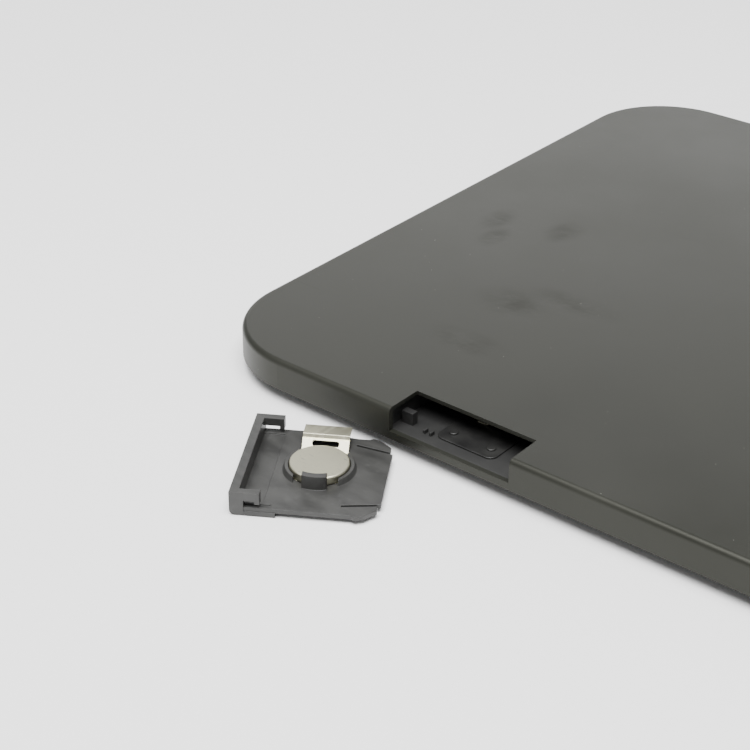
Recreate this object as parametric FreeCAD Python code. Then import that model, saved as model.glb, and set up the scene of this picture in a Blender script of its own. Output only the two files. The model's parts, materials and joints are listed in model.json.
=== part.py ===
# Digital bathroom scale: a square platform on four load cells, with a pull-out coin cell tray.
# Origin at the centre of the platform's top face, +Z up, battery slot in the -Y edge, display near +Y.
import FreeCAD, Part
import math
import os

Vec = FreeCAD.Vector

# Platform and case
platform_length = 300.0
platform_width = 300.0
platform_thickness = 11.5
corner_radius = 37.6
edge_round = 2.0
skin = 1.4
side_wall = 2.0
base_thickness = 1.6
base_gap = 0.2
steel_thickness = 0.8
steel_border = 22.0

# Feet and load cells
ground_gap = 5.0
foot_inset = 34.0
foot_radius = 15.0
foot_hole_gap = 0.5
foot_flange = 2.5
foot_flange_thickness = 1.0
foot_stem_radius = 4.0
foot_travel = 0.4
pad_radius = 13.5
pad_thickness = 2.0
cell_side = 34.0
cell_thickness = 1.5
cell_slot = 2.0
bracket_border = 3.0
bracket_height = 3.0

# Base screws and their bosses
boss_radius = 3.5
boss_edge_inset = 14.0
boss_offset = 80.0
screw_radius = 1.1
screw_hole_gap = 0.3
screw_head_radius = 2.6
screw_head_thickness = 0.8
screw_engagement = 5.0

# Battery slot and its moulding
slot_x = -38.35
slot_width = 48.6
slot_depth = 15.0
slot_lip = 2.8
bay_wall = 1.4
bay_side_gap = 1.6
bay_reach = 50.0
bay_pad_width = 23.6
bay_pad_reach = 26.0
bay_pad_start = 6.9
bay_pad_thickness = 0.6
stud_radius = 1.6
stud_spread = 15.4
stud_y = 12.1
stud_height = 0.6
leaf_thickness = 0.25
leaf_width = 4.0

# Battery tray
tray_gap = 0.3
tray_skin = 1.6
tray_plate = 1.5
tray_reach = 47.4
bar_depth = 3.0
bar_height = 8.5
panel_end = 10.3
panel_side = 2.9
panel_depth = 0.45
arm_width = 2.6
arm_reach = 9.8
arm_underside = 5.6
hook_length = 1.6
hook_drop = 1.1
finger_width = 5.2
finger_start = 35.0
finger_slit = 1.0
finger_step = 0.9
near_slit_lean = 10.0
far_slit_lean = 16.0
far_slit_shift = 1.6
bump_radius = 1.8
bump_v = 42.0
tip_chamfer = 5.0
tip_round = 2.0
far_taper = 2.5
taper_start = 16.6
tray_at = (-78.0, -211.4)
tray_angle = 31.59

# Coin cell, CR2032
cell_radius = 10.0
cell_height = 3.2
cell_u = 25.5
cell_v = 24.9
cell_seat = 2.8
ring_gap = 0.3
ring_wall = 2.4
ring_lip = 1.1
ring_top = 5.0
clip_top = 8.0
clip_half = 4.0
clip_slot = 3.4
cell_can_wall = 0.25
cell_crimp = 1.2

# Nickel contact strip of the tray
strip_thickness = 0.3
strip_width = 15.8
strip_start = 18.0
strip_bend = 36.4
strip_rise = 39.2
strip_bead = 1.2
strip_end = 45.8
strip_pad_top = 7.0
strip_window_width = 9.0
strip_window_low = 4.0
strip_window_high = 5.4

# Display, board and button
display_y = 112.0
window_length = 66.0
window_width = 34.0
window_radius = 3.0
frame_border = 4.0
frame_depth = 4.1
glass_length = 58.0
glass_width = 26.0
glass_thickness = 2.0
glass_gap = 0.3
zebra_width = 2.0
board_length = 80.0
board_width = 44.0
board_thickness = 1.6
board_screw_radius = 0.9
board_screw_head = 1.8
board_screw_head_thickness = 1.2
board_screw_inset = 3.5
button_radius = 3.0
button_x = 28.0
button_y = 100.0
button_gap = 0.3
button_recess = 0.2
button_flange = 1.0
button_travel = 0.4
label_length = 44.0
label_width = 22.0
label_thickness = 0.2
wire_radius = 0.8

# Levels that follow from the sizes above
under_skin = -skin
bottom = -platform_thickness
base_top = bottom + base_thickness
floor_z = bottom - ground_gap
front_y = -platform_width / 2
board_top = under_skin - frame_depth
board_bottom = board_top - board_thickness
slot_floor = bottom + slot_lip
cell_top = under_skin - bracket_height
cell_bottom = cell_top - cell_thickness
tray_length = slot_width - 2 * tray_gap
plate_top = tray_skin + tray_plate
cell_cap_radius = cell_radius - cell_crimp

os.makedirs("parts", exist_ok=True)


def box(x0, x1, y0, y1, z0, z1):
    return Part.makeBox(x1 - x0, y1 - y0, z1 - z0, Vec(x0, y0, z0))


def disc(x, y, z0, z1, radius):
    return Part.makeCylinder(radius, z1 - z0, Vec(x, y, z0))


def rounded_box(cx, cy, length, width, radius, z0, z1):
    solid = box(cx - length / 2, cx + length / 2, cy - width / 2, cy + width / 2, z0, z1)
    uprights = [edge for edge in solid.Edges if abs(edge.tangentAt(edge.FirstParameter).z) > 0.9]
    return solid.makeFillet(radius, uprights)


def outer_edges(solid, level):
    # The edges of a solid that lie wholly in one level plane.
    return [edge for edge in solid.Edges
            if abs(edge.BoundBox.ZMin - level) < 0.001 and abs(edge.BoundBox.ZMax - level) < 0.001]


def group(solids):
    return Part.makeCompound(solids)


def fuse_all(solids):
    whole = solids[0]
    for solid in solids[1:]:
        whole = whole.fuse(solid)
    return whole.removeSplitter()


def cut_all(solid, tools):
    for tool in tools:
        solid = solid.cut(tool)
    return solid


def write(name, shape):
    shape.exportStep("parts/" + name + ".step")


def boss_points():
    far_x = platform_length / 2 - boss_edge_inset
    far_y = platform_width / 2 - boss_edge_inset
    points = [(sx * boss_offset, sy * far_y) for sx in (-1, 1) for sy in (-1, 1)]
    points += [(sx * far_x, sy * boss_offset) for sx in (-1, 1) for sy in (-1, 1)]
    return points


def foot_points():
    far_x = platform_length / 2 - foot_inset
    far_y = platform_width / 2 - foot_inset
    return [(-far_x, -far_y), (far_x, -far_y), (far_x, far_y), (-far_x, far_y)]


def board_screw_points():
    far_x = window_length / 2 + frame_border - board_screw_inset
    far_y = window_width / 2 + frame_border - board_screw_inset
    return [(sx * far_x, display_y + sy * far_y) for sx in (-1, 1) for sy in (-1, 1)]


def slot_cut(margin, depth, low):
    half = slot_width / 2 + margin
    return box(slot_x - half, slot_x + half, front_y - edge_round, front_y + depth, low, edge_round)


def platform_cover():
    outer = rounded_box(0, 0, platform_length, platform_width, corner_radius, bottom, 0)
    outer = outer.makeFillet(edge_round, outer_edges(outer, 0))
    hollow = rounded_box(0, 0, platform_length - 2 * side_wall, platform_width - 2 * side_wall,
                         corner_radius - side_wall, bottom - 1, under_skin)
    shell = outer.cut(hollow)
    shell = shell.cut(rounded_box(0, display_y, window_length, window_width, window_radius,
                                  under_skin - 1, 1))
    bosses = [disc(x, y, base_top, under_skin, boss_radius) for x, y in boss_points()]
    pilots = [disc(x, y, base_top - 1, base_top + screw_engagement, screw_radius) for x, y in boss_points()]
    shell = cut_all(fuse_all([shell] + bosses), pilots)
    return shell.cut(slot_cut(0, slot_depth, slot_floor))


def stiffening_plate():
    reach = display_y - window_width / 2 - frame_border - base_gap
    length = platform_length - 2 * steel_border
    width = min(reach, platform_width / 2 - bay_reach - bay_wall - base_gap) * 2
    return rounded_box(0, 0, length, width - 4 * base_gap, 4 * edge_round,
                       under_skin - steel_thickness, under_skin)


def base_cover():
    inset = side_wall + base_gap
    plate = rounded_box(0, 0, platform_length - 2 * inset, platform_width - 2 * inset,
                        corner_radius - inset, bottom, base_top)
    feet = [disc(x, y, bottom - 1, base_top + 1, foot_radius + foot_hole_gap) for x, y in foot_points()]
    holes = [disc(x, y, bottom - 1, base_top + 1, screw_radius + screw_hole_gap) for x, y in boss_points()]
    sinks = [disc(x, y, bottom - 1, bottom + screw_head_thickness, screw_head_radius + screw_hole_gap)
             for x, y in boss_points()]
    button_hole = disc(button_x, button_y, bottom - 1, base_top + 1, button_radius + button_gap)
    return cut_all(plate, feet + holes + sinks + [button_hole])


def base_screws():
    screws = []
    for x, y in boss_points():
        head = disc(x, y, bottom, bottom + screw_head_thickness, screw_head_radius)
        shank = disc(x, y, bottom, base_top + screw_engagement, screw_radius)
        cross = fuse_all([box(x - 1.6, x + 1.6, y - 0.3, y + 0.3, bottom, bottom + 0.5),
                          box(x - 0.3, x + 0.3, y - 1.6, y + 1.6, bottom, bottom + 0.5)])
        screws.append(head.fuse(shank).removeSplitter().cut(cross))
    return group(screws)


def battery_bay():
    # Floor, side walls and back wall of the slot, between the base cover and the platform's skin.
    half = slot_width / 2 + bay_side_gap
    low_y = front_y + side_wall
    far_y = front_y + bay_reach
    floor = box(slot_x - half - bay_wall, slot_x + half + bay_wall, low_y, far_y + bay_wall, base_top, slot_floor)
    walls = [box(slot_x + side * (half + bay_wall / 2) - bay_wall / 2,
                 slot_x + side * (half + bay_wall / 2) + bay_wall / 2,
                 low_y, far_y + bay_wall, base_top, under_skin) for side in (-1, 1)]
    back = box(slot_x - half - bay_wall, slot_x + half + bay_wall, far_y, far_y + bay_wall, base_top, under_skin)
    left = slot_x - slot_width / 2
    post = box(left - 0.4, left + 4.2, front_y + 7.4, front_y + 10.0, slot_floor, slot_floor + 4.6)
    ribs = [box(left + u, left + u + 0.8, front_y + 6.0, front_y + 8.0, slot_floor, slot_floor + 1.4)
            for u in (9.6, 12.2)]
    return fuse_all([floor, back, post] + walls + ribs)


def contact_plate():
    centre_y = front_y + bay_pad_start + bay_pad_reach / 2
    plate = rounded_box(slot_x + 1.2, centre_y, bay_pad_width, bay_pad_reach, 3.0,
                        slot_floor, slot_floor + bay_pad_thickness)
    return plate.makeFillet(bay_pad_thickness / 3, outer_edges(plate, slot_floor + bay_pad_thickness))


def contact_studs():
    top = slot_floor + bay_pad_thickness
    studs = []
    for side in (-1, 1):
        x = slot_x + 1.2 + side * stud_spread / 2
        stud = disc(x, front_y + stud_y, top, top + stud_height, stud_radius)
        studs.append(stud.makeFillet(stud_height / 2, outer_edges(stud, top + stud_height)))
    return group(studs)


def bent_strip(points, thickness, y0, width):
    # A bent metal strip: straight plates along a line of (x, z) points, with round bends.
    solids = []
    for (xa, za), (xb, zb) in zip(points, points[1:]):
        length = math.hypot(xb - xa, zb - za)
        plate = box(0, length, y0, y0 + width, -thickness / 2, thickness / 2)
        plate.rotate(Vec(0, 0, 0), Vec(0, 1, 0), -math.degrees(math.atan2(zb - za, xb - xa)))
        plate.translate(Vec(xa, 0, za))
        solids.append(plate)
    for x, z in points[1:-1]:
        solids.append(Part.makeCylinder(thickness / 2, width, Vec(x, y0, z), Vec(0, 1, 0)))
    return fuse_all(solids)


def bay_springs():
    # Two sprung leaves: one for the cell's face and one for the pad of the tray's strip.
    springs = []
    low = slot_floor + bay_pad_thickness + leaf_thickness / 2
    cell_touch = -(cell_seat + cell_height) - 0.3
    pad_touch = -strip_pad_top - 0.3
    tray_left = slot_x - tray_length / 2
    y0 = front_y + cell_v - leaf_width / 2
    x = tray_left + cell_u
    springs.append(bent_strip([(x - 6, low), (x - 3, low), (x + 1, cell_touch), (x + 3, cell_touch - 0.6)],
                              leaf_thickness, y0, leaf_width))
    x = max(tray_left + strip_end, slot_x + bay_pad_width / 2 + 7)
    low = slot_floor + leaf_thickness / 2
    springs.append(bent_strip([(x - 5, low), (x - 3, low), (x - 1, pad_touch), (x, pad_touch - 0.5)],
                              leaf_thickness, y0, leaf_width))
    return group(springs)


def load_cell_bracket(x, y):
    side = cell_side + 2 * bracket_border
    block = rounded_box(x, y, side, side, bracket_border, cell_bottom, under_skin)
    pocket = box(x - cell_side / 2, x + cell_side / 2, y - cell_side / 2, y + cell_side / 2, cell_bottom - 1, cell_top)
    relief_side = cell_side - 2 * bracket_border
    relief = rounded_box(x, y, relief_side, relief_side, bracket_border, cell_bottom - 1, under_skin - skin)
    return cut_all(block, [pocket, relief])


def load_cell(x, y):
    # A steel plate with a C-shaped slot that frees a tongue in its middle.
    plate = box(x - cell_side / 2, x + cell_side / 2, y - cell_side / 2, y + cell_side / 2, cell_bottom, cell_top)
    half = cell_side / 4
    low = cell_bottom - 1
    high = cell_top + 1
    slots = [box(x - half - cell_slot, x + half + cell_slot, y - half - cell_slot, y - half, low, high),
             box(x - half - cell_slot, x - half, y - half, y + half, low, high),
             box(x + half, x + half + cell_slot, y - half, y + half, low, high)]
    return cut_all(plate, slots)


def foot(x, y):
    flange_low = base_top + foot_travel / 4
    flange_top = flange_low + foot_flange_thickness
    pad_top = floor_z + pad_thickness
    body = disc(x, y, pad_top, flange_low, foot_radius)
    body = body.makeFillet(foot_flange_thickness, outer_edges(body, pad_top))
    flange = disc(x, y, flange_low, flange_top, foot_radius + foot_flange)
    stem = disc(x, y, flange_top, cell_bottom - foot_travel - foot_travel / 2, foot_stem_radius)
    return fuse_all([body, flange, stem])


def foot_pad(x, y):
    pad = disc(x, y, floor_z, floor_z + pad_thickness, pad_radius)
    return pad.makeFillet(pad_thickness / 4, outer_edges(pad, floor_z))


def display_window():
    window = rounded_box(0, display_y, window_length, window_width, window_radius, under_skin, 0)
    return window


def lcd_frame():
    length = window_length + 2 * frame_border
    width = window_width + 2 * frame_border
    frame = rounded_box(0, display_y, length, width, window_radius, board_top, under_skin)
    opening = box(-glass_length / 2 - glass_gap, glass_length / 2 + glass_gap,
                  display_y - glass_width / 2 - glass_gap, display_y + glass_width / 2 + glass_gap,
                  board_top - 1, under_skin + 1)
    pilots = [disc(x, y, board_top - 1, board_top + frame_depth - skin, board_screw_radius)
              for x, y in board_screw_points()]
    return cut_all(frame, [opening] + pilots)


def lcd_glass():
    top = under_skin - glass_gap
    return box(-glass_length / 2, glass_length / 2, display_y - glass_width / 2, display_y + glass_width / 2,
               top - glass_thickness, top)


def zebra_strips():
    top = under_skin - glass_gap - glass_thickness
    strips = []
    for side in (-1, 1):
        y = display_y + side * (glass_width / 2 - zebra_width)
        strips.append(box(-glass_length / 2 + zebra_width, glass_length / 2 - zebra_width,
                          y - zebra_width / 2, y + zebra_width / 2, board_top, top))
    return group(strips)


def circuit_board():
    board = box(-board_length / 2, board_length / 2, display_y - board_width / 2, display_y + board_width / 2,
                board_bottom, board_top)
    holes = [disc(x, y, board_bottom - 1, board_top + 1, board_screw_radius + screw_hole_gap)
             for x, y in board_screw_points()]
    return cut_all(board, holes)


def board_components():
    # Chip, crystal can, two capacitors, the button's switch and four wire sockets, on the underside.
    parts = [box(-6, 6, display_y - 6, display_y + 6, board_bottom - 1.3, board_bottom),
             rounded_box(16, display_y + 4, 8, 3.4, 1.6, board_bottom - 1.6, board_bottom),
             box(-20, -17, display_y - 8, display_y - 6, board_bottom - 1.0, board_bottom),
             box(-20, -17, display_y - 2, display_y, board_bottom - 1.0, board_bottom)]
    switch_low = base_top + foot_flange_thickness + button_travel + button_gap
    parts.append(box(button_x - 2.6, button_x + 2.6, button_y - 2.6, button_y + 2.6, switch_low, board_bottom))
    for end in (-1, 1):
        x = end * (board_length / 2 - 4)
        for side in (-1, 1):
            y = display_y + side * 8
            parts.append(box(x - 2.5, x + 2.5, y - 3, y + 3, board_bottom - 2.0, board_bottom))
    return group(parts)


def board_screws():
    screws = []
    for x, y in board_screw_points():
        head = disc(x, y, board_bottom - board_screw_head_thickness, board_bottom, board_screw_head)
        shank = disc(x, y, board_bottom, board_top + frame_depth - skin, board_screw_radius)
        screws.append(fuse_all([head, shank]))
    return group(screws)


def unit_button():
    flange_low = base_top + foot_travel / 4
    flange_top = flange_low + foot_flange_thickness
    cap = disc(button_x, button_y, bottom + button_recess, flange_low, button_radius)
    flange = disc(button_x, button_y, flange_low, flange_top, button_radius + button_flange)
    return fuse_all([cap, flange])


def rating_plate():
    return rounded_box(0, 0, label_length, label_width, 2.0, bottom - label_thickness, bottom)


def tube(points, radius):
    # A wire as straight runs joined by tangent arcs, each as large as its two runs allow.
    corners = [Vec(*point) for point in points]
    edges = []
    start = corners[0]
    for before, corner, after in zip(corners, corners[1:], corners[2:]):
        back = (before - corner).normalize()
        ahead = (after - corner).normalize()
        turn = math.pi - back.getAngle(ahead)
        shorter = min((before - corner).Length, (after - corner).Length)
        reach = 0.45 * shorter
        bend = reach / math.tan(turn / 2)
        middle = (back + ahead).normalize()
        centre = corner + middle * math.hypot(bend, reach)
        enter = corner + back * reach
        leave = corner + ahead * reach
        edges.append(Part.LineSegment(start, enter).toShape())
        edges.append(Part.Arc(enter, centre - middle * bend, leave).toShape())
        start = leave
        print("wire bend radius", round(bend, 1))
    edges.append(Part.LineSegment(start, corners[-1]).toShape())
    path = Part.Wire(edges)
    ring = Part.Circle(corners[0], corners[1] - corners[0], radius).toShape()
    return path.makePipeShell([Part.Wire([ring])], True, True)


def load_cell_wires(index):
    # Front cells are 1 and 2, back cells 3 and 4; each wire ends at the board's nearer side.
    x, y = foot_points()[index]
    end = math.copysign(board_length / 2, x)
    level = board_top - board_thickness / 2
    inner = x - math.copysign(cell_side / 2 + bracket_border, x)
    if y < 0:
        side = math.copysign(1, x)
        route = [(inner, y + 6, level), (side * 82, y + 22, level), (side * 80, y + 62, level),
                 (side * 84, y + 112, level), (side * 78, y + 162, level), (side * 62, display_y - 14, level),
                 (end, display_y - 8, level)]
    else:
        middle = (inner + end) / 2
        route = [(inner, y + 2, level), (middle + (inner - middle) * 0.3, y + 6, level),
                 (middle - (inner - middle) * 0.35, display_y + 5, level), (end, display_y + 8, level)]
    return tube(route, wire_radius)


def battery_wires():
    level = board_top - board_thickness / 2
    start_y = front_y + bay_reach + bay_wall
    end_y = display_y - board_width / 2
    step = (end_y - start_y) / 4
    wires = []
    for offset in (-1.2, 1.2):
        route = [(slot_x + offset, start_y, level), (slot_x + 4 + offset, start_y + step, level),
                 (slot_x + 14 + offset, start_y + 2 * step, level),
                 (slot_x + 20 + offset, start_y + 3 * step, level), (slot_x + 22 + offset, end_y, level)]
        wires.append(tube(route, wire_radius))
    return group(wires)


# The tray is drawn lying on its outer skin: x runs from the bar to the tip, y along the bar, z up.
def place_tray(shape):
    placed = shape.copy()
    placed.rotate(Vec(0, 0, 0), Vec(0, 0, 1), tray_angle)
    placed.translate(Vec(tray_at[0], tray_at[1], floor_z))
    return placed


def tray_plate_outline():
    # The far edge tapers in, and the tip's two corners are cut off behind the bumps of the latch fingers.
    near = tray_gap
    far = tray_length - tray_gap
    far_tip = far - far_taper
    chamfer_v = tray_reach - tip_chamfer
    points = [(0, near), (chamfer_v, near), (tray_reach, near + tip_chamfer), (tray_reach, far_tip - tip_chamfer),
              (chamfer_v, far_tip), (finger_start, far_tip), (taper_start, far), (0, far), (0, near)]
    face = Part.Face(Part.makePolygon([Vec(v, u, tray_skin) for v, u in points]))
    plate = face.extrude(Vec(0, 0, tray_plate))
    tip_uprights = [edge for edge in plate.Edges
                    if edge.BoundBox.ZLength > tray_plate / 2 and edge.BoundBox.XMin > chamfer_v - 0.1]
    plate = plate.makeFillet(tip_round, tip_uprights)
    panel = box(bar_depth, panel_end, panel_side, far - panel_side, plate_top - panel_depth, plate_top + 1)
    return plate.cut(panel)


def slit_u(near, v):
    # Where a slit's middle runs along the tray's length, at distance v from the bar's outer face.
    if near:
        return finger_width + (v - finger_start) * math.tan(math.radians(near_slit_lean))
    start = tray_length - finger_width - far_slit_shift
    return start - (v - finger_start) * math.tan(math.radians(far_slit_lean))


def finger_slits():
    slits = []
    reach = tray_reach - finger_start + 2
    for near in (True, False):
        slit = box(0, reach, -finger_slit / 2, finger_slit / 2, 0, plate_top + 1)
        slit.rotate(Vec(0, 0, 0), Vec(0, 0, 1), near_slit_lean if near else -far_slit_lean)
        slit.translate(Vec(finger_start, slit_u(near, finger_start), 0))
        slits.append(slit)
    return slits


def coin_holder():
    # A ring with a sloping outside and a tall clip at its near side, with a gap each side of the clip.
    inner = cell_radius + ring_gap
    outer = inner + ring_wall
    base = Vec(cell_v, cell_u, tray_skin)
    bore = disc(cell_v, cell_u, 0, clip_top + 1, inner)
    ring = Part.makeCone(outer, inner + ring_lip, ring_top - tray_skin, base).cut(bore)
    clip = Part.makeCone(outer, inner + 2 * ring_lip, clip_top - tray_skin, base).cut(bore)
    clip_zone = box(cell_v - clip_half, cell_v + clip_half, 0, cell_u, 0, clip_top + 1)
    slots = [box(cell_v + side * (clip_half + clip_slot / 2) - clip_slot / 2,
                 cell_v + side * (clip_half + clip_slot / 2) + clip_slot / 2,
                 0, cell_u, plate_top, clip_top + 1) for side in (-1, 1)]
    open_half = strip_width / 2 + ring_gap
    far_gap = box(cell_v - open_half, cell_v + open_half, cell_u, tray_length, plate_top, clip_top + 1)
    ring = cut_all(ring, slots + [far_gap])
    return ring.fuse(clip.common(clip_zone))


def tray_arms():
    # At each end of the bar an arm runs back at its top, with a hook at its tip; a post props the near one.
    far = tray_length
    solids = [box(bar_depth, arm_reach, u, u + arm_width, arm_underside, bar_height)
              for u in (0, far - arm_width)]
    solids += [box(arm_reach - hook_length, arm_reach, u, u + arm_width, arm_underside - hook_drop, bar_height)
               for u in (0, far - arm_width)]
    solids.append(box(bar_depth, bar_depth + hook_length, 0, arm_width / 2, tray_skin, bar_height))
    solids.append(box(bar_depth, slot_depth - tray_gap - hook_length, panel_side - arm_width / 3, panel_side,
                      tray_skin, plate_top + panel_depth))
    return solids


def battery_tray():
    skin_plate = box(0, slot_depth - tray_gap, 0, tray_length, 0, tray_skin)
    bar = box(0, bar_depth, 0, tray_length, 0, bar_height)
    body = skin_plate.fuse(bar).removeSplitter()
    lower_edge = [edge for edge in body.Edges
                  if edge.BoundBox.XMax < 0.001 and edge.BoundBox.ZMax < 0.001]
    body = body.makeFillet(edge_round, lower_edge)
    plate = cut_all(tray_plate_outline(), finger_slits())
    plate = plate.cut(box(-1, bar_depth, 0, tray_length, 0, plate_top + 1))
    bump_far = tray_length - tray_gap - far_taper
    bumps = [disc(bump_v - bump_radius, u, tray_skin, plate_top, bump_radius)
             for u in (tray_gap + bump_radius - 0.6, bump_far - bump_radius + 0.6)]
    block_half = strip_width / 2 - 1
    block = box(cell_v - block_half, cell_v + block_half, strip_rise + 2 * strip_bead, strip_end - 0.6,
                tray_skin, strip_pad_top - 2.5 * strip_thickness)
    whole = fuse_all([body] + tray_arms() + [plate] + bumps + [coin_holder(), block])
    finger_ends = [box(tray_reach - finger_step, tray_reach + 1, u0, u1, 0, plate_top + 1)
                   for u0, u1 in ((0, slit_u(True, tray_reach)), (slit_u(False, tray_reach), tray_length))]
    pocket = disc(cell_v, cell_u, cell_seat - strip_thickness, clip_top + 1, cell_radius + ring_gap)
    channel_half = strip_width / 2 + ring_gap
    channel = box(cell_v - channel_half, cell_v + channel_half, cell_u, strip_rise + strip_bead,
                  cell_seat - strip_thickness, clip_top + 1)
    return cut_all(whole, finger_ends + [pocket, channel])


def contact_strip():
    # From under the cell it rises behind it, has a bead across and ends in a level pad with a turned-down lip.
    low = cell_seat - strip_thickness / 2
    high = strip_pad_top - strip_thickness / 2
    bead = high - strip_bead
    points = [(strip_start, low), (strip_bend, low), (strip_rise, bead), (strip_rise + strip_bead / 2, bead),
              (strip_rise + strip_bead, high), (strip_end, high), (strip_end, high - 1.5 * strip_thickness)]
    strip = bent_strip(points, strip_thickness, 0, strip_width)
    strip.rotate(Vec(0, 0, 0), Vec(0, 0, 1), 90)
    strip.translate(Vec(cell_v + strip_width / 2, 0, 0))
    window = box(cell_v - strip_window_width / 2, cell_v + strip_window_width / 2,
                 strip_bend, strip_rise, strip_window_low, strip_window_high)
    side_edges = [edge for edge in window.Edges if edge.BoundBox.YLength > strip_thickness]
    window = window.makeFillet(strip_thickness * 2, side_edges)
    under_cell = disc(cell_v, cell_u, 0, cell_seat, cell_radius + ring_gap / 2)
    behind = box(0, tray_reach, strip_bend - strip_thickness, tray_length, 0, clip_top)
    between = box(0, tray_reach, cell_u, strip_bend, 0, cell_seat)
    return strip.common(fuse_all([under_cell, behind, between])).cut(window)


def coin_cell_can():
    top = cell_seat + cell_height
    can = disc(cell_v, cell_u, cell_seat + cell_can_wall, top, cell_radius)
    can = can.makeFillet(2 * cell_can_wall, outer_edges(can, top))
    return can.cut(disc(cell_v, cell_u, 0, top - cell_can_wall, cell_radius - cell_can_wall))


def coin_cell_gasket():
    top = cell_seat + cell_height - 2 * cell_can_wall
    ring = disc(cell_v, cell_u, cell_seat + cell_can_wall, top, cell_radius - cell_can_wall)
    return ring.cut(disc(cell_v, cell_u, 0, top + 1, cell_cap_radius))


def coin_cell_cap():
    top = cell_seat + cell_height - 2 * cell_can_wall
    cap = disc(cell_v, cell_u, cell_seat, top, cell_cap_radius)
    return cap.makeFillet(cell_can_wall, outer_edges(cap, cell_seat))


write("platform_cover", platform_cover())
write("stiffening_plate", stiffening_plate())
write("base_cover", base_cover())
write("base_screws", base_screws())
write("battery_bay", battery_bay())
write("contact_plate", contact_plate())
write("contact_studs", contact_studs())
write("bay_springs", bay_springs())
for number, (foot_x, foot_y) in enumerate(foot_points(), 1):
    write("load_cell_bracket_%d" % number, load_cell_bracket(foot_x, foot_y))
    write("load_cell_%d" % number, load_cell(foot_x, foot_y))
    write("foot_%d" % number, foot(foot_x, foot_y))
    write("foot_pad_%d" % number, foot_pad(foot_x, foot_y))
    write("load_cell_wires_%d" % number, load_cell_wires(number - 1))
write("display_window", display_window())
write("lcd_frame", lcd_frame())
write("lcd_glass", lcd_glass())
write("zebra_strips", zebra_strips())
write("circuit_board", circuit_board())
write("board_components", board_components())
write("board_screws", board_screws())
write("unit_button", unit_button())
write("rating_plate", rating_plate())
write("battery_wires", battery_wires())
write("battery_tray", place_tray(battery_tray()))
write("contact_strip", place_tray(contact_strip()))
write("coin_cell_can", place_tray(coin_cell_can()))
write("coin_cell_gasket", place_tray(coin_cell_gasket()))
write("coin_cell_cap", place_tray(coin_cell_cap()))
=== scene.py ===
import json
import math
import bmesh
import bpy
import numpy as np
from mathutils import Matrix, Vector


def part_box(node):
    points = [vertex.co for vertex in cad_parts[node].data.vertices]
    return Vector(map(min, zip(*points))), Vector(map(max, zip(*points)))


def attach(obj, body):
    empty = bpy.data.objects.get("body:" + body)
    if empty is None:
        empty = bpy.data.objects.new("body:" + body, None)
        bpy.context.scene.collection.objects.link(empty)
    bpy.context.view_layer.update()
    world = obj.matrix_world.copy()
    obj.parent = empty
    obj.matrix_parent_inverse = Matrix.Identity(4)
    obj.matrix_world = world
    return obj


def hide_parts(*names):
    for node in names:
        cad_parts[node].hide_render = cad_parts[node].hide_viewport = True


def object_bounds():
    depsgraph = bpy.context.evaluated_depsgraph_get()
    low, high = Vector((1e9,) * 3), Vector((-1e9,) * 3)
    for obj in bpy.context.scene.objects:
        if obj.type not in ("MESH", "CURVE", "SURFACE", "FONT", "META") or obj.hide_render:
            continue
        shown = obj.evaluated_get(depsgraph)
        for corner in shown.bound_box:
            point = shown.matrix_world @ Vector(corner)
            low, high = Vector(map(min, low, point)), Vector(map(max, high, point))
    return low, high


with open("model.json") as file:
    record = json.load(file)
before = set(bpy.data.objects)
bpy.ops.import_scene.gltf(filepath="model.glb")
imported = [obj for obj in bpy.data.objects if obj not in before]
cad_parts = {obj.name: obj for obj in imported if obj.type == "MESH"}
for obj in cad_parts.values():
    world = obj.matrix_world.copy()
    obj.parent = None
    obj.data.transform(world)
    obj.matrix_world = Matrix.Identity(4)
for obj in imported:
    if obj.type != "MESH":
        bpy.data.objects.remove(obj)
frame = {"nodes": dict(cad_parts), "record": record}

nodes = frame["nodes"]
cadLow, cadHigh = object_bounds()
print("frame loaded")


# shader tools: a wrapped socket, so that sums and products of sockets add their Math nodes

class Wire:
    def __init__(self, tree, socket):
        self.tree = tree
        self.socket = socket

    def maths(self, operation, first, second):
        return addNode(self.tree, "ShaderNodeMath", {"operation": operation}, {0: first, 1: second})

    def __add__(self, other):
        return self.maths("ADD", self, other)

    def __radd__(self, other):
        return self.maths("ADD", other, self)

    def __mul__(self, other):
        return self.maths("MULTIPLY", self, other)

    def __rmul__(self, other):
        return self.maths("MULTIPLY", other, self)


def addNode(tree, kind, settings=None, inputs=None, output=0):
    # a node of that kind: its settings first, then its sockets' values or links
    node = tree.nodes.new(kind)
    for name, value in (settings or {}).items():
        setattr(node, name, value)
    for name, value in (inputs or {}).items():
        if isinstance(value, Wire):
            tree.links.new(value.socket, node.inputs[name])
        else:
            node.inputs[name].default_value = value
    return Wire(tree, node.outputs[output])


def place(tree, scale=(1, 1, 1), turn=0.0):
    # object coordinates, stretched and turned about Z
    coordinates = addNode(tree, "ShaderNodeTexCoord", output=3)
    return addNode(tree, "ShaderNodeMapping", {"vector_type": "POINT"},
                   {"Vector": coordinates, "Rotation": (0, 0, turn), "Scale": scale})


def noise(tree, where, scale, detail=3.0, roughness=0.5):
    return addNode(tree, "ShaderNodeTexNoise", None,
                   {"Vector": where, "Scale": scale, "Detail": detail, "Roughness": roughness})


def stretch(tree, value, low, high, to=(0.0, 1.0)):
    # value, carried from low..high to the range in to, and held at its ends
    return addNode(tree, "ShaderNodeMapRange", {"clamp": True},
                   {"Value": value, "From Min": low, "From Max": high, "To Min": to[0], "To Max": to[1]})


def blendColour(tree, factor, first, second):
    # in a colour Mix the two colours are sockets 6 and 7, and the result is output 2
    first, second = [tone if isinstance(tone, Wire) else (*tone, 1.0) for tone in (first, second)]
    return addNode(tree, "ShaderNodeMix", {"data_type": "RGBA"}, {0: factor, 6: first, 7: second}, output=2)


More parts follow.
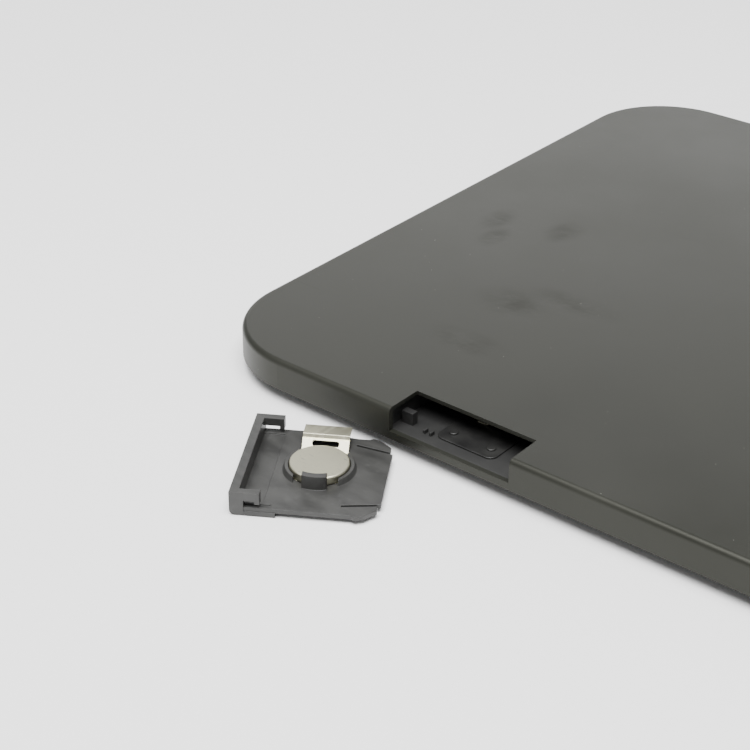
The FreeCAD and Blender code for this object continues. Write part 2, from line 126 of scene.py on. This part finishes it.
def reliefOf(tree, height, depth, strength, under=None):
    inputs = {"Height": height, "Distance": depth, "Strength": strength}
    if under:
        inputs["Normal"] = under
    return addNode(tree, "ShaderNodeBump", None, inputs)


bevelSamples = 6


def softEdge(tree, radius):
    return addNode(tree, "ShaderNodeBevel", {"samples": bevelSamples}, {"Radius": radius})


def spot(tree, centre, radii):
    # 1 at a point and 0 outside an ellipsoid of those radii about it
    near = addNode(tree, "ShaderNodeVectorMath", {"operation": "SUBTRACT"},
                   {0: addNode(tree, "ShaderNodeTexCoord", output=3), 1: centre})
    sized = addNode(tree, "ShaderNodeVectorMath", {"operation": "DIVIDE"}, {0: near, 1: radii})
    reach = addNode(tree, "ShaderNodeVectorMath", {"operation": "LENGTH"}, {0: sized}, output=1)
    return addNode(tree, "ShaderNodeMapRange", {"interpolation_type": "SMOOTHSTEP"},
                   {"Value": reach, "From Min": 1.0, "From Max": 0.0, "To Min": 0.0, "To Max": 1.0})


def makeFinish(name, build, **fixed):
    material = bpy.data.materials.new(name)
    material.use_nodes = True
    tree = material.node_tree
    shader = tree.nodes["Principled BSDF"]
    for socket, value in fixed.items():
        shader.inputs[socket.replace("_", " ")].default_value = value
    for socket, wire in build(tree).items():
        tree.links.new(wire.socket, shader.inputs[socket])
    return material


# In the finishes below a noise is (scale, detail, roughness), its range is what is stretched to 0..1,
# rough is the least and greatest roughness, and depths, edges and radii are in metres.

# platform: satin black plastic with a fine grain, faint shallow marks, smears, hairlines and dust

platform = {
    "dark": (0.0125, 0.0130, 0.0105), "pale": (0.0180, 0.0185, 0.0155), "rough": (0.39, 0.47),
    "specular": 0.34, "tint": (1.0, 1.0, 0.88, 1.0),
    "grain": (2600.0, 2.0), "grainDepth": 0.00003, "grainStrength": 0.35,
    "smear": (13.0, 5.0, 0.6), "smearRange": (0.35, 0.68),
    "dust": (0.42, 0.42, 0.38), "specks": (900.0, 1.0), "speckRange": (0.815, 0.825), "dustCover": 0.5,
    "hairScale": (30, 900, 30), "hairTurn": 0.5, "hairRange": (0.70, 0.74), "hairRough": 0.05,
    "markTone": (0.010, 0.010, 0.009), "markCover": 0.22, "markRough": 0.12,
    "markDepth": 0.00022, "markStrength": 0.6, "ragged": (75.0, 3.0, 0.5), "raggedRange": (0.30, 0.62),
    "marks": [((-0.120, -0.009, 0), (0.008, 0.014, 0.004)), ((-0.112, -0.023, 0), (0.007, 0.012, 0.004)),
              ((-0.073, -0.064, 0), (0.020, 0.014, 0.004)), ((-0.093, -0.002, 0), (0.009, 0.014, 0.004)),
              ((-0.070, -0.098, 0), (0.022, 0.010, 0.004)), ((-0.055, -0.050, 0), (0.024, 0.009, 0.004))],
}


def platformSkin(tree):
    where = place(tree)
    grain = noise(tree, where, *platform["grain"])
    smear = stretch(tree, noise(tree, where, *platform["smear"]), *platform["smearRange"])
    specks = stretch(tree, noise(tree, where, *platform["specks"]), *platform["speckRange"])
    scratch = noise(tree, place(tree, platform["hairScale"], platform["hairTurn"]), 1.0)
    hairs = stretch(tree, scratch, *platform["hairRange"])
    ragged = stretch(tree, noise(tree, where, *platform["ragged"]), *platform["raggedRange"])
    marks = 0.0
    for at, radii in platform["marks"]:
        marks = spot(tree, at, radii) * ragged + marks
    tone = blendColour(tree, smear, platform["dark"], platform["pale"])
    shaded = blendColour(tree, marks * platform["markCover"], tone, platform["markTone"])
    colour = blendColour(tree, specks * platform["dustCover"], shaded, platform["dust"])
    rough = stretch(tree, smear, 0.0, 1.0, platform["rough"])
    dents = reliefOf(tree, marks * -1.0, platform["markDepth"], platform["markStrength"])
    return {"Base Color": colour,
            "Roughness": rough + marks * platform["markRough"] + hairs * platform["hairRough"],
            "Normal": reliefOf(tree, grain, platform["grainDepth"], platform["grainStrength"], dents)}


# tray: harder black plastic with flow lines along it and rubbed patches

tray = {
    "dark": (0.026, 0.026, 0.025), "pale": (0.045, 0.045, 0.043), "rough": (0.34, 0.48),
    "grain": (2200.0, 2.0), "grainDepth": 0.00003, "grainStrength": 0.3, "edge": 0.00035,
    "flow": (60.0, 4.0), "flowScale": (1.0, 3.0, 1.0), "flowTurn": -0.55, "flowRange": (0.35, 0.7),
    "rubbed": (420.0, 4.0), "rubbedRange": (0.62, 0.75), "rubbedTone": (0.09, 0.09, 0.088),
    "rubbedCover": 0.2, "rubbedRough": 0.08,
}


def trayPlastic(tree):
    where = place(tree)
    grain = noise(tree, where, *tray["grain"])
    along = place(tree, tray["flowScale"], tray["flowTurn"])
    flow = stretch(tree, noise(tree, along, *tray["flow"]), *tray["flowRange"])
    rubbed = stretch(tree, noise(tree, where, *tray["rubbed"]), *tray["rubbedRange"])
    colour = blendColour(tree, flow, tray["dark"], tray["pale"])
    worn = blendColour(tree, rubbed * tray["rubbedCover"], colour, tray["rubbedTone"])
    rough = stretch(tree, flow, 0.0, 1.0, tray["rough"])
    return {"Base Color": worn, "Roughness": rough + rubbed * tray["rubbedRough"],
            "Normal": reliefOf(tree, grain, tray["grainDepth"], tray["grainStrength"],
                               softEdge(tree, tray["edge"]))}


# bare metals: streaks along the rolling direction over a finer cloud

brush = {"turn": -0.55, "streak": (1.0, 4.0, 0.6), "streakRange": (0.35, 0.65), "streakCover": 0.6,
         "cloud": (240.0, 4.0), "cloudRange": (0.3, 0.7), "cloudCover": 0.3, "cloudRough": 0.5,
         "depth": 0.00002, "strength": 0.3}

zinc = {"dark": (0.42, 0.43, 0.45), "pale": (0.60, 0.61, 0.63), "along": (40, 900, 40),
        "rough": (0.30, 0.45), "edge": 0.0002}

nickel = {"dark": (0.64, 0.62, 0.47), "pale": (0.76, 0.74, 0.59), "along": (900, 50, 50),
          "rough": (0.32, 0.46), "edge": 0.00015}


def brushedMetal(metal):
    def build(tree):
        streak = noise(tree, place(tree, metal["along"], brush["turn"]), *brush["streak"])
        cloud = stretch(tree, noise(tree, place(tree), *brush["cloud"]), *brush["cloudRange"])
        line = stretch(tree, streak, *brush["streakRange"])
        mixed = line * brush["streakCover"] + cloud * brush["cloudCover"]
        wear = line + cloud * brush["cloudRough"]
        return {"Base Color": blendColour(tree, mixed, metal["dark"], metal["pale"]),
                "Roughness": stretch(tree, wear, 0.0, 1.0 + brush["cloudRough"], metal["rough"]),
                "Normal": reliefOf(tree, streak, brush["depth"], brush["strength"],
                                   softEdge(tree, metal["edge"]))}
    return build


coin = {
    "face": (0.66, 0.645, 0.50), "dull": (0.57, 0.555, 0.43), "dullCover": 0.7, "rough": (0.36, 0.48),
    "grainScale": (700, 2600, 700), "grainTurn": 0.4, "grainRough": 0.3, "grainDepth": 0.000006,
    "grainStrength": 0.25, "cloud": (130.0, 5.0, 0.6), "cloudRange": (0.35, 0.68),
    "scuffScale": (260, 900, 260), "scuffTurn": 0.9, "scuff": (1.0, 4.0), "scuffRange": (0.64, 0.70),
    "scuffTone": (0.22, 0.21, 0.20), "scuffCover": 0.35, "scuffRough": 0.1,
    "rimRound": 0.0006, "rimSteps": 9, "wall": 0.00022, "faceRings": (0.3, 0.6, 0.85, 0.92), "segments": 160,
}


def coinSteel(tree):
    # fine rolled grain, with blotches and short scuffs where it was handled
    grain = noise(tree, place(tree, coin["grainScale"], coin["grainTurn"]), 1.0)
    cloud = stretch(tree, noise(tree, place(tree), *coin["cloud"]), *coin["cloudRange"])
    scuffed = noise(tree, place(tree, coin["scuffScale"], coin["scuffTurn"]), *coin["scuff"])
    scuffs = stretch(tree, scuffed, *coin["scuffRange"])
    colour = blendColour(tree, cloud * coin["dullCover"], coin["face"], coin["dull"])
    marked = blendColour(tree, scuffs * coin["scuffCover"], colour, coin["scuffTone"])
    wear = cloud + grain * coin["grainRough"]
    rough = stretch(tree, wear, 0.0, 1.0 + coin["grainRough"], coin["rough"])
    return {"Base Color": marked, "Roughness": rough + scuffs * coin["scuffRough"],
            "Normal": reliefOf(tree, grain, coin["grainDepth"], coin["grainStrength"])}


# circuit board: solder mask over parallel tracks, which stand up a little

board = {"dark": (0.008, 0.022, 0.010), "pale": (0.014, 0.045, 0.018), "rough": (0.26, 0.38),
         "tracks": {"Scale": 260.0, "Distortion": 1.5, "Detail": 1.0}, "trackRange": (0.45, 0.6),
         "weave": (1400.0, 2.0), "weaveRange": (0.3, 0.7),
         "depth": 0.00003, "strength": 0.5, "edge": 0.0002}


def boardMask(tree):
    tracks = addNode(tree, "ShaderNodeTexWave", {"wave_type": "BANDS", "bands_direction": "DIAGONAL"},
                     {"Vector": place(tree), **board["tracks"]}, output=1)
    raised = stretch(tree, tracks, *board["trackRange"])
    weave = noise(tree, place(tree), *board["weave"])
    return {"Base Color": blendColour(tree, raised, board["dark"], board["pale"]),
            "Roughness": stretch(tree, weave, *board["weaveRange"], board["rough"]),
            "Normal": reliefOf(tree, raised, board["depth"], board["strength"],
                               softEdge(tree, board["edge"]))}


# plainer finishes: a cloud moves the tone and the roughness, and some have a finer grain in relief

innerBlack = {"dark": (0.010, 0.010, 0.010), "pale": (0.022, 0.022, 0.021), "rough": (0.42, 0.58),
              "cloud": (45.0, 4.0), "cloudRange": (0.3, 0.7),
              "grain": (1800.0, 2.0), "depth": 0.00004, "strength": 0.4, "edge": 0.0003}

footRubber = {"dark": (0.018, 0.018, 0.018), "pale": (0.0408, 0.0396, 0.0380), "rough": (0.72, 0.92),
              "cloud": (90.0, 5.0, 0.65), "cloudRange": (0.45, 0.75),
              "grain": (1500.0, 4.0), "depth": 0.00006, "strength": 0.5, "edge": 0.0004}

smokedWindow = {"dark": (0.006, 0.007, 0.007), "pale": (0.010, 0.011, 0.011), "rough": (0.06, 0.16),
                "cloud": (40.0, 5.0, 0.6), "cloudRange": (0.4, 0.7)}

liquidCrystal = {"dark": (0.22, 0.25, 0.20), "pale": (0.26, 0.29, 0.235), "rough": (0.10, 0.16),
                 "cloud": (25.0, 3.0), "cloudRange": (0.3, 0.7)}

contactPlate = {"dark": (0.009, 0.009, 0.009), "pale": (0.018, 0.018, 0.017), "rough": (0.30, 0.42),
                "cloud": (120.0, 4.0), "cloudRange": (0.35, 0.7),
                "grain": (1600.0, 3.0), "depth": 0.00003, "strength": 0.4, "edge": 0.00015}

chipResin = {"dark": (0.010, 0.010, 0.011), "pale": (0.026, 0.026, 0.027), "rough": (0.45, 0.65),
             "cloud": (2600.0, 3.0), "cloudRange": (0.0, 1.0), "roughRange": (0.3, 0.7),
             "grain": (2600.0, 3.0), "depth": 0.00003, "strength": 0.4, "edge": 0.0002}

redSleeve = {"dark": (0.36, 0.015, 0.010), "pale": (0.46, 0.025, 0.016), "rough": (0.38, 0.5),
             "cloud": (60.0, 3.0), "cloudRange": (0.35, 0.65),
             "grain": (700.0, 2.0), "depth": 0.00003, "strength": 0.3}

greySleeve = {**redSleeve, "dark": (0.20, 0.20, 0.20), "pale": (0.28, 0.28, 0.28)}

labelFilm = {"dark": (0.46, 0.46, 0.45), "pale": (0.54, 0.54, 0.53), "rough": (0.30, 0.42),
             "cloud": (80.0, 4.0), "cloudRange": (0.35, 0.7),
             "grain": (3000.0, 2.0), "depth": 0.00002, "strength": 0.3, "edge": 0.0002}

buttonPlastic = {"dark": (0.055, 0.055, 0.055), "pale": (0.085, 0.085, 0.084), "rough": (0.42, 0.55),
                 "cloud": (2400.0, 3.0), "cloudRange": (0.0, 1.0), "roughRange": (0.3, 0.7),
                 "grain": (2400.0, 3.0), "depth": 0.00004, "strength": 0.4, "edge": 0.0004}


def clouded(values):
    def build(tree):
        cloud = stretch(tree, noise(tree, place(tree), *values["cloud"]), *values["cloudRange"])
        sockets = {"Base Color": blendColour(tree, cloud, values["dark"], values["pale"]),
                   "Roughness": stretch(tree, cloud, *values.get("roughRange", (0.0, 1.0)), values["rough"])}
        if "grain" in values:
            grain = noise(tree, place(tree), *values["grain"])
            under = softEdge(tree, values["edge"]) if "edge" in values else None
            sockets["Normal"] = reliefOf(tree, grain, values["depth"], values["strength"], under)
        return sockets
    return build


glossIndex = {"satin": 1.45, "rubber": 1.45, "window": 1.49, "plastic": 1.5}

finishes = {
    "platform": makeFinish("satinBlackPlastic", platformSkin, IOR=glossIndex["satin"],
                           Specular_IOR_Level=platform["specular"], Specular_Tint=platform["tint"]),
    "tray": makeFinish("trayBlackPlastic", trayPlastic, IOR=glossIndex["plastic"]),
    "inner": makeFinish("innerBlackPlastic", clouded(innerBlack), IOR=glossIndex["plastic"]),
    "zinc": makeFinish("zincPlatedSteel", brushedMetal(zinc), Metallic=1.0),
    "nickel": makeFinish("nickelStrip", brushedMetal(nickel), Metallic=1.0),
    "coin": makeFinish("cellSteel", coinSteel, Metallic=1.0),
    "rubber": makeFinish("footRubber", clouded(footRubber), IOR=glossIndex["rubber"]),
    "window": makeFinish("smokedWindow", clouded(smokedWindow), IOR=glossIndex["window"]),
    "crystal": makeFinish("liquidCrystal", clouded(liquidCrystal), IOR=glossIndex["plastic"]),
    "board": makeFinish("solderMask", boardMask, IOR=glossIndex["plastic"]),
    "plate": makeFinish("contactPlate", clouded(contactPlate), IOR=glossIndex["plastic"]),
    "chip": makeFinish("chipResin", clouded(chipResin), IOR=glossIndex["plastic"]),
    "redWire": makeFinish("redWire", clouded(redSleeve)),
    "greyWire": makeFinish("greyWire", clouded(greySleeve)),
    "label": makeFinish("labelFilm", clouded(labelFilm)),
    "button": makeFinish("buttonPlastic", clouded(buttonPlastic), IOR=glossIndex["plastic"]),
}

slotFinish = {
    "case_black": "platform", "base_black": "inner", "tray_black": "tray", "label_film": "label",
    "zinc_steel": "zinc", "nickel": "nickel", "board_black": "board", "window_smoke": "window",
    "lcd": "crystal", "pad_rubber": "rubber", "chip_black": "chip", "button_grey": "button",
    "wire_red": "redWire", "plate_black": "plate", "wire_grey": "greyWire", "cell_steel": "coin",
    "seal": "chip",
}

for part in frame["record"]["subparts"]:
    piece = nodes[part["node"]]
    piece.data.materials.clear()
    piece.data.materials.append(finishes[slotFinish[part["material_slot"]]])
print("materials on", len(nodes), "nodes")


# the cell's can: a turned profile with a flat face, a rounded rim and an open underside

weldDistance = 1e-7  # metres


def turned(name, profile, centre, segments):
    # each point (radius, height) of a closed profile carried round a circle: x = r cos a, y = r sin a
    profile = np.array(profile)
    angles = np.linspace(0, 2 * np.pi, segments, endpoint=False)
    count = len(profile)
    x = centre[0] + np.outer(np.cos(angles), profile[:, 0])
    y = centre[1] + np.outer(np.sin(angles), profile[:, 0])
    z = np.broadcast_to(profile[:, 1], x.shape)
    points = np.stack([x, y, z], 2).reshape(-1, 3)
    a, p = np.meshgrid(np.arange(segments), np.arange(count), indexing="ij")
    b, q = (a + 1) % segments, (p + 1) % count
    quads = np.stack([a * count + p, b * count + p, b * count + q, a * count + q], 2).reshape(-1, 4)
    mesh = bpy.data.meshes.new(name)
    mesh.from_pydata(points.tolist(), [], quads.tolist())
    solid = bmesh.new()
    solid.from_mesh(mesh)
    bmesh.ops.remove_doubles(solid, verts=solid.verts, dist=weldDistance)
    bmesh.ops.recalc_face_normals(solid, faces=solid.faces)
    solid.to_mesh(mesh)
    solid.free()
    mesh.update()
    piece = bpy.data.objects.new(name, mesh)
    bpy.context.scene.collection.objects.link(piece)
    mesh.polygons.foreach_set("use_smooth", np.ones(len(mesh.polygons), dtype=bool))
    return piece


def cellCan():
    low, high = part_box("coin_cell_can")
    radius = (high[0] - low[0]) / 2
    centre = ((low[0] + high[0]) / 2, (low[1] + high[1]) / 2)
    top, foot, hub = high[2], low[2], 0.0
    bend, wall = coin["rimRound"], coin["wall"]
    face = [(radius * share, top) for share in coin["faceRings"]]
    rim = [(radius - bend + bend * math.sin(angle), top - bend + bend * math.cos(angle))
           for angle in np.linspace(0, math.pi / 2, coin["rimSteps"])]
    outside = [(radius, foot + wall / 2), (radius - wall / 4, foot)]
    inside = [(radius - wall, foot), (radius - wall, top - bend),
              (radius - bend, top - wall), (hub, top - wall)]
    profile = [(hub, top)] + face + rim + outside + inside
    can = turned("cellCan", profile[::-1], centre, coin["segments"])
    can.data.materials.append(finishes["coin"])
    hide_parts("coin_cell_can")
    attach(can, "coin_cell")


cellCan()
print("cell made")


# floor, light and camera

stage = {"side": 6.0, "level": cadLow[2], "dark": (0.93, 0.93, 0.93), "pale": (0.95, 0.95, 0.95),
         "grain": (300.0, 3.0), "roughness": 0.9}


def floorPaper(tree):
    grain = noise(tree, place(tree), *stage["grain"])
    return {"Base Color": blendColour(tree, grain, stage["dark"], stage["pale"])}


def makeFloor():
    half = stage["side"] / 2
    plan = [(-half, -half), (half, -half), (half, half), (-half, half)]
    corners = [(x, y, stage["level"]) for x, y in plan]
    mesh = bpy.data.meshes.new("floor")
    mesh.from_pydata(corners, [], [(0, 1, 2, 3)])
    floor = bpy.data.objects.new("floor", mesh)
    bpy.context.scene.collection.objects.link(floor)
    floor.data.materials.append(makeFinish("floorPaper", floorPaper, Roughness=stage["roughness"]))


studioLight = {
    "world": 0.45,
    "backSoftbox": {"at": (-0.95, 1.25, 0.45), "target": (0.0, 0.05, 0), "size": (1.5, 0.7), "power": 8.0},
    "topSoftbox": {"at": (0.1, -0.5, 1.6), "target": (0, -0.2, 0), "size": (1.4, 1.4), "power": 82.0},
}


def softbox(name, at, target, size, power):
    light = bpy.data.lights.new(name, "AREA")
    light.shape = "RECTANGLE"
    light.size, light.size_y = size
    light.energy = power
    lamp = bpy.data.objects.new(name, light)
    lamp.location = at
    lamp.rotation_euler = (Vector(target) - Vector(at)).to_track_quat("-Z", "Y").to_euler()
    bpy.context.scene.collection.objects.link(lamp)


def studio():
    world = bpy.data.worlds.new("studio")
    world.use_nodes = True
    background = world.node_tree.nodes["Background"]
    background.inputs["Color"].default_value = (1, 1, 1, 1)
    background.inputs["Strength"].default_value = studioLight["world"]
    bpy.context.scene.world = world
    for name in ("backSoftbox", "topSoftbox"):
        softbox(name, **studioLight[name])


view = {"eye": (0.24747, -0.54147, 0.30375), "pitch": 0.527567, "roll": 0.008713, "heading": 0.67955,
        "lens": 85.02, "sensor": 36.0, "clip": 0.01}


def makeCamera():
    # right and up are turned by the roll about the line of sight
    sp, cp = math.sin(view["pitch"]), math.cos(view["pitch"])
    sh, ch = math.sin(view["heading"]), math.cos(view["heading"])
    ahead = Vector((-cp * sh, cp * ch, -sp))
    level = Vector((ch, sh, 0))
    above = level.cross(ahead)
    right = level * math.cos(view["roll"]) + above * math.sin(view["roll"])
    up = above * math.cos(view["roll"]) - level * math.sin(view["roll"])
    data = bpy.data.cameras.new("camera")
    data.lens = view["lens"]
    data.sensor_width = view["sensor"]
    data.clip_start = view["clip"]
    camera = bpy.data.objects.new("camera", data)
    turn = Matrix((right, up, -ahead)).transposed().to_4x4()
    camera.matrix_world = Matrix.Translation(view["eye"]) @ turn
    bpy.context.scene.collection.objects.link(camera)
    bpy.context.scene.camera = camera


makeFloor()
studio()
makeCamera()
print("stage ready")
